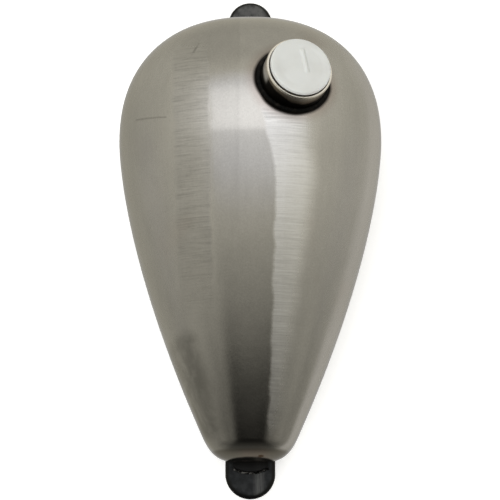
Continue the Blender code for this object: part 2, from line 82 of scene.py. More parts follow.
NECK_FOOT = Vector(joint("cap_turn")["pos_m"])
NECK_AXIS = Vector(joint("cap_turn")["axis"]).normalized()
CAP_PITCH = 5 * MM
PLUG_FOOT = Vector(joint("plug_turn")["pos_m"])


def neck_frame():
    """The neck's own frame: Z along its axis, X to the tank's right."""
    right = Vector((0, 1, 0)).cross(NECK_AXIS).normalized()
    turn = Matrix((right, NECK_AXIS.cross(right), NECK_AXIS)).transposed()
    return Matrix.Translation(NECK_FOOT) @ turn.to_4x4()


NECK_FRAME = neck_frame()


def in_neck(node):
    """A node's points in the neck's own frame."""
    inverse = NECK_FRAME.inverted()
    return [inverse @ v.co for v in frame["nodes"][node].data.vertices]


def node_heights(node):
    """The lowest and highest heights of a node along the neck's axis, above its foot."""
    heights = [point.z for point in in_neck(node)]
    return min(heights), max(heights)


def node_radius(node):
    """How far a node reaches from the neck's axis."""
    return max(math.hypot(*point.xy) for point in in_neck(node))


NECK_R = node_radius("filler_neck")
NECK_LOW, NECK_TOP = node_heights("filler_neck")


# ---------------------------------------------------------------- body form, as in the CAD

STATIONS = 170
SECTION_SIDES = 176


def end_round(distance, length, power):
    share = min(max(1 - distance / length, 0), 1)
    return (1 - share ** power) ** (1 / power)


def half_width(y):
    if y >= WIDEST_Y:
        return BODY_WIDTH / 2 * end_round(FRONT_Y - y, FRONT_Y - WIDEST_Y, 2.3)
    back = (WIDEST_Y - y) / (WIDEST_Y - TAIL_Y)
    taper = 1 - 0.73 * back ** 1.56
    return BODY_WIDTH / 2 * taper * end_round(y - TAIL_Y, 30 * MM, 4)


def top_z(y):
    if y >= CROWN_Y:
        return NOSE_Z + (CROWN_Z - NOSE_Z) * end_round(FRONT_Y - y, FRONT_Y - CROWN_Y, 2.15)
    back = (CROWN_Y - y) / (CROWN_Y - TAIL_Y)
    line = CROWN_Z - (CROWN_Z - TAIL_TOP_Z) * back ** 1.5
    return TAIL_Z + (line - TAIL_Z) * end_round(y - TAIL_Y, 16 * MM, 2)


def under_z(y):
    if y >= 0:
        return NOSE_Z - (NOSE_Z - KEEL_Z) * end_round(FRONT_Y - y, 96 * MM, 2)
    climb = min(max(1 - (y - TAIL_Y) / (120 * MM), 0), 1)
    line = KEEL_Z + (TAIL_UNDER_Z - KEEL_Z) * climb ** 1.5
    return TAIL_Z - (TAIL_Z - line) * end_round(y - TAIL_Y, 16 * MM, 2)


def belt_z(y):
    return TAIL_Z + (NOSE_Z - TAIL_Z) * (y - TAIL_Y) / BODY_LENGTH


def power_of(value, power):
    return math.copysign(abs(value) ** power, value)


def section(y):
    """The points round the body at y, going from +X over the top."""
    for k in range(SECTION_SIDES):
        angle = 2 * math.pi * k / SECTION_SIDES
        across, up = math.cos(angle), math.sin(angle)
        power = 2.15 if up >= 0 else 2.5
        reach = top_z(y) - belt_z(y) if up >= 0 else belt_z(y) - under_z(y)
        x = half_width(y) * power_of(across, 2 / power)
        yield x, y, belt_z(y) + reach * power_of(up, 2 / power)


def body_surface():
    shape = bmesh.new()
    rings = []
    for i in range(1, STATIONS):
        y = (FRONT_Y + TAIL_Y) / 2 + BODY_LENGTH / 2 * math.cos(math.pi * i / STATIONS)
        rings.append([shape.verts.new(point) for point in section(y)])
    for front, back in zip(rings, rings[1:]):
        for k in range(SECTION_SIDES):
            after = (k + 1) % SECTION_SIDES
            shape.faces.new((front[k], front[after], back[after], back[k]))
    for ring, tip_y, tip_z in ((rings[0], FRONT_Y, NOSE_Z), (rings[-1], TAIL_Y, TAIL_Z)):
        tip = shape.verts.new((0, tip_y, tip_z))
        for k in range(SECTION_SIDES):
            shape.faces.new((tip, ring[k], ring[(k + 1) % SECTION_SIDES]))
    bmesh.ops.recalc_face_normals(shape, faces=shape.faces)
    return shape


BODY = body_surface()
BODY_TREE = BVHTree.FromBMesh(BODY)


# ---------------------------------------------------------------- mesh helpers

def object_from(shape, name):
    mesh = bpy.data.meshes.new(name)
    shape.to_mesh(mesh)
    shape.free()
    made = bpy.data.objects.new(name, mesh)
    bpy.context.scene.collection.objects.link(made)
    return made


def extrude(shape, face, vec):
    swept = bmesh.ops.extrude_face_region(shape, geom=[face])["geom"]
    moved = [v for v in swept if isinstance(v, bmesh.types.BMVert)]
    bmesh.ops.translate(shape, verts=moved, vec=vec)
    bmesh.ops.recalc_face_normals(shape, faces=shape.faces)


def smooth(made, degrees):
    made.data.shade_smooth()
    made.data.set_sharp_from_angle(angle=math.radians(degrees))
    return made


def hide_cutter(made):
    made.hide_render = True
    return made


def apply_modifiers(made):
    bpy.context.view_layer.update()
    evaluated = made.evaluated_get(bpy.context.evaluated_depsgraph_get())
    mesh = bpy.data.meshes.new_from_object(evaluated)
    made.modifiers.clear()
    made.data = mesh


def boolean_now(made, operation, cutter):
    """Applies a Boolean straight away, so that no modifier waits for a cutter."""
    cut = made.modifiers.new("cut", "BOOLEAN")
    cut.operation = operation
    cut.solver = "EXACT"
    cut.object = cutter
    apply_modifiers(made)


def solidify_now(made, thickness):
    thick = made.modifiers.new("sheet", "SOLIDIFY")
    thick.thickness = thickness
    thick.offset = -1
    thick.use_even_offset = True
    apply_modifiers(made)


def bevel(made, width):
    rounded = made.modifiers.new("edges", "BEVEL")
    rounded.width = width
    rounded.segments = 3
    rounded.limit_method = "ANGLE"
    rounded.angle_limit = math.radians(40)


def surface_of_turning(name, profile, sides, shift=None):
    """Turns a closed or axis-to-axis profile of (radius, height) points. shift(radius, angle,
    height, index) may move each point, and returns the new radius and height."""
    shape = bmesh.new()
    rings = []
    for index, (radius, height) in enumerate(profile):
        if radius <= 0:
            rings.append([shape.verts.new((0, 0, height))])
            continue
        ring = []
        for k in range(sides):
            angle = 2 * math.pi * k / sides
            r, h = shift(radius, angle, height, index) if shift else (radius, height)
            ring.append(shape.verts.new((r * math.cos(angle), r * math.sin(angle), h)))
        rings.append(ring)
    closed = profile[0][0] > 0
    pairs = list(zip(rings, rings[1:])) + ([(rings[-1], rings[0])] if closed else [])
    for upper, lower in pairs:
        for k in range(sides):
            after = (k + 1) % sides
            corners = [upper[k % len(upper)], lower[k % len(lower)],
                       lower[after % len(lower)], upper[after % len(upper)]]
            shape.faces.new(list(dict.fromkeys(corners)))
    bmesh.ops.recalc_face_normals(shape, faces=shape.faces)
    return object_from(shape, name)


def arc(middle_x, middle_y, radius, start, end, count):
    angles = [start + (end - start) * i / (count - 1) for i in range(count)]
    return [(middle_x + radius * math.cos(a), middle_y + radius * math.sin(a)) for a in angles]


def bead(name, path, normals, radius, pitch, cyclic, seed):
    """A weld bead along a path: round across, with a ripple every pitch and uneven width."""
    shape = bmesh.new()
    across_count = 18
    rings = []
    travelled = 0.0
    count = len(path)
    for i, (at, up) in enumerate(zip(path, normals)):
        before = path[i - 1] if i or cyclic else at
        after = path[(i + 1) % count] if i < count - 1 or cyclic else at
        along = (after - before).normalized()
        side = along.cross(up).normalized()
        travelled += (at - before).length if i else 0.0
        phase = travelled / pitch % 1.0
        ripple = 0.90 + 0.10 * math.sqrt(max(0.0, 1 - (2 * phase - 1) ** 2))
        uneven = 1 + 0.10 * noise.noise(Vector((travelled / pitch * 0.7, seed, 0)))
        lag = along * (pitch * 0.35)
        ring = []
        for k in range(across_count):
            angle = 2 * math.pi * k / across_count
            reach = radius * ripple * uneven
            scallop = lag * (math.cos(angle) ** 2)
            ring.append(shape.verts.new(at + side * reach * math.cos(angle)
                                        + up * reach * math.sin(angle) - scallop))
        rings.append(ring)
    pairs = list(zip(rings, rings[1:])) + ([(rings[-1], rings[0])] if cyclic else [])
    for one, two in pairs:
        for k in range(across_count):
            after = (k + 1) % across_count
            shape.faces.new((one[k], one[after], two[after], two[k]))
    if not cyclic:
        shape.faces.new(rings[0])
        shape.faces.new(list(reversed(rings[-1])))
    bmesh.ops.recalc_face_normals(shape, faces=shape.faces)
    return smooth(object_from(shape, name), 60)


# ---------------------------------------------------------------- shader helpers

class Graph:
    """A short way to write a material's nodes."""

    def __init__(self, owner):
        """owner is a new material or world."""
        owner.use_nodes = True
        self.owner = owner
        self.tree = owner.node_tree
        self.shader = self.tree.nodes.get("Principled BSDF")

    def node(self, kind, **settings):
        made = self.tree.nodes.new(kind)
        for name, value in settings.items():
            setattr(made, name, value)
        return made

    def feed(self, socket, value):
        if isinstance(value, bpy.types.NodeSocket):
            self.tree.links.new(value, socket)
        elif value is not None:
            if socket.type == "RGBA" and len(value) == 3:
                value = (*value, 1)
            socket.default_value = value

    def math(self, operation, a, b=None, c=None, clamp=False):
        made = self.node("ShaderNodeMath", operation=operation, use_clamp=clamp)
        for socket, value in zip(made.inputs, (a, b, c)):
            self.feed(socket, value)
        return made.outputs[0]

    def where(self):
        return self.node("ShaderNodeTexCoord").outputs["Object"]

    def split(self, vector):
        made = self.node("ShaderNodeSeparateXYZ")
        self.feed(made.inputs[0], vector)
        return made.outputs

    def scaled(self, vector, scale):
        made = self.node("ShaderNodeMapping")
        self.feed(made.inputs["Vector"], vector)
        made.inputs["Scale"].default_value = scale
        return made.outputs[0]

    def noise(self, vector, scale, detail, rough, distortion=0.0):
        """scale is one number, or three to stretch the noise along the axes."""
        if isinstance(scale, tuple):
            vector, scale = self.scaled(vector, scale), 1
        made = self.node("ShaderNodeTexNoise")
        self.feed(made.inputs["Vector"], vector)
        made.inputs["Scale"].default_value = scale
        made.inputs["Detail"].default_value = detail
        made.inputs["Roughness"].default_value = rough
        made.inputs["Distortion"].default_value = distortion
        return made.outputs["Fac"]

    def range(self, value, low, high, to_low=0.0, to_high=1.0, smooth_step=True):
        made = self.node("ShaderNodeMapRange")
        made.interpolation_type = "SMOOTHSTEP" if smooth_step else "LINEAR"
        for name, number in (("Value", value), ("From Min", low), ("From Max", high),
                             ("To Min", to_low), ("To Max", to_high)):
            self.feed(made.inputs[name], number)
        return made.outputs[0]

    def mix(self, share, a, b, blend="MIX"):
        made = self.node("ShaderNodeMix", data_type="RGBA", blend_type=blend)
        self.feed(made.inputs["Factor"], share)
        self.feed(made.inputs[6], a)
        self.feed(made.inputs[7], b)
        return made.outputs[2]

    def grey(self, value):
        made = self.node("ShaderNodeCombineColor")
        for socket in made.inputs:
            self.feed(socket, value)
        return made.outputs[0]

    def bump(self, height, strength, distance, normal=None):
        made = self.node("ShaderNodeBump")
        made.inputs["Strength"].default_value = strength
        made.inputs["Distance"].default_value = distance
        self.feed(made.inputs["Height"], height)
        if normal is not None:
            self.feed(made.inputs["Normal"], normal)
        return made.outputs[0]

    def distance(self, vector, point):
        made = self.node("ShaderNodeVectorMath", operation="DISTANCE")
        self.feed(made.inputs[0], vector)
        made.inputs[1].default_value = point
        return made.outputs["Value"]

    def set(self, **values):
        for name, value in values.items():
            self.feed(self.shader.inputs[name.replace("_", " ")], value)
        return self.owner


def new_graph(name):
    return Graph(bpy.data.materials.new(name))


# ---------------------------------------------------------------- materials

STEEL_TINT = (0.55, 0.535, 0.51)


def axis_distance(g, at):
    """How far a point is from the neck's axis."""
    offset = g.node("ShaderNodeVectorMath", operation="SUBTRACT")
    g.feed(offset.inputs[0], at)
    offset.inputs[1].default_value = NECK_FOOT
    turned = g.node("ShaderNodeVectorMath", operation="CROSS_PRODUCT")
    g.feed(turned.inputs[0], offset.outputs[0])
    turned.inputs[1].default_value = NECK_AXIS
    length = g.node("ShaderNodeVectorMath", operation="LENGTH")
    g.feed(length.inputs[0], turned.outputs[0])
    return length.outputs["Value"]


def line_at(g, y, rear, ahead):
    """The x of a line that runs from (rear x, y = -0.2) to (ahead x, y = +0.1)."""
    along = g.range(y, -0.2, 0.1, 0, 1, smooth_step=False)
    return g.math("MULTIPLY_ADD", along, ahead - rear, rear)


def band(g, x, y, wobble, left, left_soft, right, right_soft, y_front, y_rear, fade):
    """1 inside a ground band. left and right are its edges as (rear x, ahead x)."""
    moved = g.math("MULTIPLY_ADD", g.math("SUBTRACT", wobble, 0.5), 0.007, x)
    from_left = g.math("SUBTRACT", moved, line_at(g, y, *left))
    from_right = g.math("SUBTRACT", line_at(g, y, *right), moved)
    inside = g.math("MULTIPLY", g.range(from_left, -left_soft, left_soft),
                    g.range(from_right, -right_soft, right_soft))
    begun = g.range(y, y_front + 0.010, y_front - 0.010, 0, 1)
    ended = g.range(y, y_rear, y_rear + fade, 0, 1)
    return g.math("MULTIPLY", inside, g.math("MULTIPLY", begun, ended))


def mark(g, x, y, start, end, wide, soft):
    """1 on a straight mark between two points in plan, fading over soft."""
    run_x, run_y = end[0] - start[0], end[1] - start[1]
    square = run_x * run_x + run_y * run_y
    from_x, from_y = g.math("SUBTRACT", x, start[0]), g.math("SUBTRACT", y, start[1])
    share = g.math("MULTIPLY_ADD", from_x, run_x / square,
                   g.math("MULTIPLY", from_y, run_y / square), clamp=True)
    off_x = g.math("MULTIPLY_ADD", share, -run_x, from_x)
    off_y = g.math("MULTIPLY_ADD", share, -run_y, from_y)
    away = g.math("SQRT", g.math("MULTIPLY_ADD", off_x, off_x, g.math("MULTIPLY", off_y, off_y)))
    return g.range(away, wide + soft, wide, 0, 1)


def centred(g, value, amount):
    """A noise value made to swing by amount either side of zero."""
    return g.math("MULTIPLY", g.math("SUBTRACT", value, 0.5), amount)


def added(g, *values):
    total = values[0]
    for value in values[1:]:
        total = g.math("ADD", total, value)
    return total


def ground_bands(g, x, y, wobble, upper):
    """Where the left and the right seam were ground across. The right band flares forward."""
    left = band(g, x, y, wobble, (-0.058, -0.072), 0.003, (-0.032, -0.039), 0.0015,
                0.160, -0.125, 0.10)
    flare = g.range(y, 0.015, 0.110, 0, 0.018)
    right = band(g, g.math("ADD", x, flare), y, wobble, (0.0165, 0.0265), 0.0022,
                 (0.022, 0.070), 0.010, 0.092, -0.210, 0.02)
    return g.math("MULTIPLY", left, upper), g.math("MULTIPLY", right, upper)


def top_marks(g, x, y, colour, cloud, patches, wobble):
    """A darker patch near the tail, a scar at the front and a hairline scratch on the left."""
    # a darker patch near the tail
    dark_tail_patch = mark(g, g.math("ADD", x, centred(g, cloud, 0.020)), y, (-0.060, -0.120),
                  (-0.040, -0.190), 0.004, 0.016)
    colour = g.mix(g.math("MULTIPLY", dark_tail_patch, g.range(patches, 0.35, 0.6, 0.22, 0.6)), colour,
                   (0.17, 0.165, 0.15))
    scar = mark(g, x, y, (-0.0488, 0.1626), (-0.060, 0.139), 0.0002, 0.0016)
    scar = g.math("MULTIPLY", scar, g.range(patches, 0.40, 0.60))
    colour = g.mix(g.math("MULTIPLY", scar, 0.45), colour, (0.14, 0.13, 0.12))
    hairline = mark(g, x, g.math("ADD", y, centred(g, wobble, 0.004)), (-0.1076, 0.0922),
                    (-0.0784, 0.0864), 0.0002, 0.0010)
    colour = g.mix(g.math("MULTIPLY", hairline, 0.4), colour, (0.16, 0.15, 0.14))
    return colour


def closing_plate(g, at, x, y, colour, grain):
    """The tail plate's duller and pinker steel, with a rust spot."""
    tail = g.range(y, TAIL_Y + 0.0105, TAIL_Y + 0.0075, 0, 1)
    pink = g.range(g.math("ABSOLUTE", g.math("SUBTRACT", x, 0.004)), 0.020, 0.006)
    closing = g.mix(pink, (0.22, 0.205, 0.18), (0.27, 0.225, 0.20))
    colour = g.mix(g.math("MULTIPLY", tail, 0.85), colour, closing)
    spot = g.distance(at, (0.0098, TAIL_Y + 0.0032, 0.0715))
    spot = g.math("ADD", spot, centred(g, grain, 0.003))
    colour = g.mix(g.range(spot, 0.0012, 0.0040, 0.95, 0), colour, (0.09, 0.045, 0.015))
    return colour


def steel_skin():
    """Bare sheet steel: brushed lengthwise, cross-ground along both seams, browned by welding
    round the neck, black at the neck's foot, partly burnt and partly painted shadow, and darker
    towards the tail and in a patch near it. The right band carries a painted reflection, and right
    of the middle a painted highlight lightens the front half. Its places are in metres in the
    frame. All but the brushing is kept off the underside."""
    g = new_graph("brushed_steel_skin")
    at = g.where()
    x, y, z = g.split(at)
    cloud = g.noise(at, 14, 3, 0.55)
    patches = g.noise(at, (30, 22, 30), 4, 0.65, 0.5)
    wobble = g.noise(at, (20, 50, 20), 3, 0.6)

    upper = g.range(z, 0.045, 0.060)
    left, right = ground_bands(g, x, y, wobble, upper)
    ground = g.math("MAXIMUM", left, right)
    glossy = g.math("SUBTRACT", 1.0, ground)

    lengthwise = g.noise(at, (700, 10, 700), 4, 0.65)
    fine = g.noise(at, (2200, 60, 2200), 2, 0.6)
    grain = g.noise(at, 520, 3, 0.65)
    streak = g.noise(at, (120, 5, 120), 3, 0.6)
    scores = g.noise(at, (20, 560, 55), 3, 0.70, 0.25)
    hair = g.noise(at, (36, 1300, 100), 3, 0.70, 0.15)
    dark_scores = g.range(scores, 0.49, 0.37)
    light_scores = g.range(scores, 0.53, 0.66)

    # colour
    # painted reflection: scratches in the right band are drawn lighter
    scored = added(g, g.math("MULTIPLY", dark_scores, -0.14), centred(g, hair, 0.46),
                   g.math("MULTIPLY", light_scores, g.math("MULTIPLY_ADD", right, 0.20, 0.07)))
    tone = added(g, g.math("MULTIPLY", ground, scored), centred(g, streak, 0.14),
                 centred(g, cloud, 0.14), centred(g, patches, 0.12), centred(g, grain, 0.24),
                 centred(g, lengthwise, 0.10),
                 # painted reflection: the right band is lighter, less so at its front end and near
                 # the tail
                 g.math("MULTIPLY", g.math("MULTIPLY", right, g.range(y, -0.18, -0.09, 0.6, 1)),
                        g.range(y, 0.085, 0.035, 0.22, 0.62)),
                 # darker towards the tail, and a little darker in the left band
                 g.math("MULTIPLY_ADD", left, -0.03, g.range(y, -0.20, -0.11, 0.86, 1)),
                 # painted highlight: right of the middle the steel is lighter from the middle of
                 # its length forward
                 g.math("MULTIPLY", g.range(x, -0.012, -0.008, 0, 0.09),
                        g.range(y, -0.06, 0.04)))
    # painted reflection: the right band's lighter, cooler tint
    tint = g.mix(right, STEEL_TINT, (0.565, 0.560, 0.555))
    colour = g.mix(1.0, tint, g.grey(tone), "MULTIPLY")

    rust = g.noise(at, (9, 5, 9), 4, 0.6, 0.4)
    colour = g.mix(g.range(rust, 0.56, 0.78, 0, 0.35), colour, (0.50, 0.41, 0.35))
    unmarked = colour

    colour = top_marks(g, x, y, colour, cloud, patches, wobble)
    from_neck = axis_distance(g, at)
    burnt_and_shaded = g.math("ADD", from_neck, centred(g, cloud, 0.008))
    colour = g.mix(g.range(burnt_and_shaded, 0.034, 0.048, 0.45, 0), colour, (0.38, 0.28, 0.25))
    # black ring at the neck's foot: partly burnt by the welding, partly painted shadow
    black = g.math("MULTIPLY", g.range(burnt_and_shaded, 0.0345, 0.0385, 1, 0), upper)
    colour = g.mix(black, colour, (0.010, 0.008, 0.007))
    colour = g.mix(upper, unmarked, colour)

    colour = closing_plate(g, at, x, y, colour, grain)

    # roughness
    side = g.range(g.math("ABSOLUTE", x), 0.045, 0.075, 0, 0.13)
    rough = g.math("MULTIPLY_ADD", ground, 0.20, 0.145)
    rough = added(g, rough, side, centred(g, lengthwise, 0.12), centred(g, cloud, 0.08),
                  centred(g, patches, 0.08))
    rough = g.math("MAXIMUM", rough, g.math("MULTIPLY", black, 0.6))

    # relief
    brushed = g.math("MULTIPLY", g.math("ADD", lengthwise, fine), glossy)
    cut = g.math("MULTIPLY", added(g, scores, hair), ground)
    normal = g.bump(g.math("ADD", brushed, cut), 0.20, 0.00012)
    normal = g.bump(added(g, cloud, g.math("MULTIPLY", patches, 0.5)), 0.12, 0.0012, normal)

    tangent = g.node("ShaderNodeTangent", direction_type="RADIAL", axis="Y")
    g.feed(g.shader.inputs["Tangent"], tangent.outputs[0])
    g.shader.inputs["Specular Tint"].default_value = (0.80, 0.79, 0.76, 1)
    return g.set(Base_Color=colour, Roughness=rough, Normal=normal, Metallic=1.0,
                 Anisotropic=0.35)


def turned_steel():
    """Lathe-turned steel round the neck's axis: a painted highlight on its rim with painted shade
    on the ledge inside it, and sides browned to black by the welding towards the foot, the black
    partly painted shade, both reaching higher on the rear left as painted shade, with a painted
    reflection as a light patch on the left."""
    g = new_graph("turned_neck_steel")
    at = g.where()
    x, y, height = g.split(at)
    rings = g.noise(at, (30, 30, 2600), 3, 0.6)
    hatch = g.noise(at, (900, 900, 40), 2, 0.6)
    cloud = g.noise(at, 90, 3, 0.6)
    tone = g.math("ADD", g.range(rings, 0.25, 0.75, 0.80, 1.05),
                  g.math("MULTIPLY", g.math("SUBTRACT", hatch, 0.5), 0.5))
    colour = g.mix(1.0, (0.56, 0.53, 0.49), g.grey(tone), "MULTIPLY")
    # painted shade: the brown and the black reach higher on the rear-left side
    rear_left = g.math("MULTIPLY_ADD", x, -0.82 / NECK_R, g.math("MULTIPLY", y, -0.57 / NECK_R))
    low = added(g, height, g.range(rear_left, 0.70, 0.97, 0, -0.005), centred(g, cloud, 0.005))
    brown = g.range(low, 0.0195, 0.011, 0, 0.8)
    colour = g.mix(brown, colour, (0.15, 0.115, 0.08))
    # black at the foot: partly blackened by the welding, partly painted shade
    burnt_and_shaded = g.range(low, 0.0125, 0.0085, 0, 1)
    colour = g.mix(burnt_and_shaded, colour, (0.008, 0.007, 0.006))
    # painted reflection: a light patch on the neck's left side
    painted_reflection_patch = g.math("MULTIPLY", g.range(x, -0.91 * NECK_R, -0.97 * NECK_R),
                   g.range(height, 0.005, 0.012, 0, 0.85))
    colour = g.mix(painted_reflection_patch, colour, (0.90, 0.89, 0.88))
    # painted highlight: a light ring at the top of the neck
    rim = g.range(height, NECK_TOP - 0.0017, NECK_TOP - 0.0011, 0, 1)
    colour = g.mix(rim, colour, (0.97, 0.92, 0.84))
    from_axis = g.math("SQRT", g.math("MULTIPLY_ADD", x, x, g.math("MULTIPLY", y, y)))
    # painted shade: the ledge inside the rim, next to the cap, is dark
    shaded = g.math("MULTIPLY", g.range(from_axis, NECK_R - 0.0015, NECK_R - 0.0021),
                    g.range(height, NECK_TOP - 0.0008, NECK_TOP - 0.0002))
    colour = g.mix(shaded, colour, (0.12, 0.105, 0.09))
    rough = g.math("MULTIPLY_ADD", burnt_and_shaded, 0.3, 0.24)
    return g.set(Base_Color=colour, Roughness=rough, Metallic=1.0,
                 Normal=g.bump(rings, 0.3, 0.0001))


def bung_steel():
    g = new_graph("turned_bung_steel")
    rings = g.noise(g.where(), (60, 60, 2600), 3, 0.6)
    tone = g.mix(rings, (0.36, 0.34, 0.31), (0.60, 0.57, 0.53))
    return g.set(Base_Color=tone, Roughness=g.range(rings, 0.3, 0.7, 0.24, 0.38), Metallic=1.0,
                 Normal=g.bump(rings, 0.25, 0.0001))


def mill_scale(name, dark, light, rough_low, rough_high, seed, node):
    """Hot-rolled steel under mill scale: mottled and pitted, with a painted reflection as a light
    streak along the tongue's middle, and painted shade in black at its rolled rim and on its
    doubler. node is the tongue, whose box places them."""
    g = new_graph(name)
    at = g.where()
    x, y, z = g.split(at)
    low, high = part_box(node)
    half = high.x
    way = 1 if low.y > 0 else -1
    bend_y = high.y - half if way > 0 else low.y + half
    beyond = g.math("MAXIMUM", g.math("MULTIPLY", g.math("SUBTRACT", y, bend_y), way), 0)
    reach = g.math("SQRT", g.math("MULTIPLY_ADD", x, x, g.math("MULTIPLY", beyond, beyond)))
    moved = g.node("ShaderNodeVectorMath", operation="ADD")
    g.feed(moved.inputs[0], at)
    moved.inputs[1].default_value = (seed, 0, 0)
    at = moved.outputs[0]
    mottle = g.noise(at, 160, 4, 0.62)
    grain = g.noise(at, 900, 3, 0.6)
    lines = g.noise(at, (900, 30, 900), 3, 0.6)
    colour = g.mix(g.range(mottle, 0.35, 0.68), dark, light)
    # painted reflection: a light streak just right of the tongue's middle
    painted_reflection_streak = g.math("MULTIPLY", g.range(g.math("ABSOLUTE", g.math("SUBTRACT", x, 0.0085)),
                                        0.0075, 0.0005), g.range(lines, 0.25, 0.7, 0.1, 0.5))
    colour = g.mix(painted_reflection_streak, colour, (0.17, 0.17, 0.165))
    # painted shade: black on the rolled rim, and painted shadow in black on the doubler
    black = g.math("MAXIMUM", g.range(reach, half - 0.0042, half - 0.0022),
                   g.range(z, high.z + 0.0002, high.z + 0.0008))
    colour = g.mix(g.math("MULTIPLY", black, 0.92), colour, (0.003, 0.003, 0.003))
    rough = g.range(mottle, 0.3, 0.7, rough_low, rough_high)
    relief = g.math("ADD", g.math("MULTIPLY", grain, 0.7), g.math("MULTIPLY", lines, 0.3))
    return g.set(Base_Color=colour, Roughness=rough, Metallic=0.55,
                 Normal=g.bump(relief, 0.25, 0.0002))


def weld_metal(name, dark, light, metallic, scale):
    g = new_graph(name)
    g.shader.inputs["Specular IOR Level"].default_value = 0.1
    at = g.where()
    mottle = g.noise(at, scale, 4, 0.6)
    grain = g.noise(at, 1500, 2, 0.6)
    colour = g.mix(g.range(mottle, 0.45, 0.72), dark, light)
    return g.set(Base_Color=colour, Roughness=g.range(mottle, 0.35, 0.7, 0.62, 0.42),
                 Metallic=metallic, Normal=g.bump(grain, 0.3, 0.0002))


def moulded_plastic(name, colour, shade, rough, glow):
    """Moulded polyethylene with a faint sink and grain. glow is its subsurface weight."""
    g = new_graph(name)
    at = g.where()
    cloud = g.noise(at, 45, 3, 0.5)
    grain = g.noise(at, 2200, 2, 0.5)
    tone = g.mix(g.range(cloud, 0.35, 0.7), colour, shade)
    g.shader.inputs["Subsurface Weight"].default_value = glow
    g.shader.inputs["Subsurface Radius"].default_value = (0.6, 0.55, 0.5)
    g.shader.inputs["Subsurface Scale"].default_value = 0.002
    return g.set(Base_Color=tone, Roughness=g.range(cloud, 0.3, 0.7, rough, rough + 0.1),
                 Normal=g.bump(grain, 0.12, 0.0001))


def rubber():
    g = new_graph("nitrile_rubber")
    grain = g.noise(g.where(), 1400, 3, 0.6)
    colour = g.mix(grain, (0.012, 0.012, 0.012), (0.035, 0.034, 0.033))
    return g.set(Base_Color=colour, Roughness=g.range(grain, 0.3, 0.7, 0.6, 0.85),
                 Normal=g.bump(grain, 0.3, 0.0002))


STEEL = steel_skin()
NECK_STEEL = turned_steel()
BUNG_STEEL = bung_steel()
REAR_SCALE = mill_scale("mill_scale_dark", (0.006, 0.007, 0.008), (0.022, 0.024, 0.026),
                        0.34, 0.5, 0.0, "rear_tab")
FRONT_SCALE = mill_scale("mill_scale_grey", (0.035, 0.036, 0.036), (0.12, 0.12, 0.12),
                         0.45, 0.65, 0.7, "front_tab")
# near-black weld round the neck's foot: partly burnt, partly painted shadow
BURNT_AND_SHADED_WELD = weld_metal("burnt_and_shaded_weld", (0.002, 0.002, 0.002), (0.010, 0.008, 0.006), 0.0, 260)
TAB_WELD = weld_metal("tab_weld", (0.004, 0.004, 0.004), (0.30, 0.29, 0.28), 0.7, 300)
SEAM_WELD = weld_metal("seam_weld", (0.10, 0.09, 0.08), (0.34, 0.31, 0.28), 0.8, 340)
WHITE_PLASTIC = moulded_plastic("white_polyethylene", (0.715, 0.73, 0.72), (0.66, 0.67, 0.655),
                                0.38, 0.25)
RED_PLASTIC = moulded_plastic("red_polyethylene", (0.45, 0.03, 0.02), (0.36, 0.02, 0.015),
                              0.4, 0.1)
RUBBER = rubber()


def finish_piece(made, material, body, slot, *nodes):
    made.data.materials.clear()
    made.data.materials.append(material)
    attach(made, body)
    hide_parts(*nodes)


# ---------------------------------------------------------------- skin panels

def tunnel_arch(grow, count=13):
    """The tunnel's arch from its left foot over the roof to its right foot, as (x, z)."""
    half = TUNNEL_HALF - TUNNEL_CORNER_R
    centre_z = TUNNEL_ROOF - TUNNEL_CORNER_R
    radius = TUNNEL_CORNER_R + grow
    left = arc(-half, centre_z, radius, math.pi, math.pi / 2, count)
    return left + arc(half, centre_z, radius, math.pi / 2, 0, count)


def prism(name, outline, y_from, y_to):
    shape = bmesh.new()
    face = shape.faces.new([shape.verts.new((x, y_from, z)) for x, z in outline])
    extrude(shape, face, (0, y_to - y_from, 0))
    return object_from(shape, name)


def tunnel_cutter():
    arch = tunnel_arch(WALL + 0.15 * MM)
    foot = -40 * MM
    outline = [(arch[0][0], foot), *arch, (arch[-1][0], foot)]
    return hide_cutter(prism("tunnel_cutter", outline, -BODY_LENGTH, BODY_LENGTH))


def neck_cutter():
    radius = NECK_R + 0.1 * MM
    deep = 28 * MM
    profile = [(0, deep), (radius, deep), (radius, -deep), (0, -deep)]
    made = hide_cutter(surface_of_turning("neck_cutter", profile, 96))
    made.data.transform(NECK_FRAME)
    return made


def seam_cut(side, towards_middle):
    across = Vector((BODY_LENGTH, SEAM_TAIL_X - SEAM_FRONT_X, 0)).normalized()
    across.x *= side
    point = Vector((side * SEAM_FRONT_X, FRONT_Y, 0))
    outward = across if towards_middle else -across
    return point - outward * HAIR / 2, outward


def panel(name, node, cuts, with_neck):
    shape = BODY.copy()
    for point, outward in cuts:
        bmesh.ops.bisect_plane(shape, geom=[*shape.verts, *shape.edges, *shape.faces],
                               plane_co=point, plane_no=outward, clear_outer=True)
    made = object_from(shape, name)
    solidify_now(made, WALL)
    boolean_now(made, "DIFFERENCE", TUNNEL_CUTTER)
    if with_neck:
        boolean_now(made, "DIFFERENCE", NECK_CUTTER)
    smooth(made, 35)
    finish_piece(made, STEEL, "tank", "brushed_steel", node)


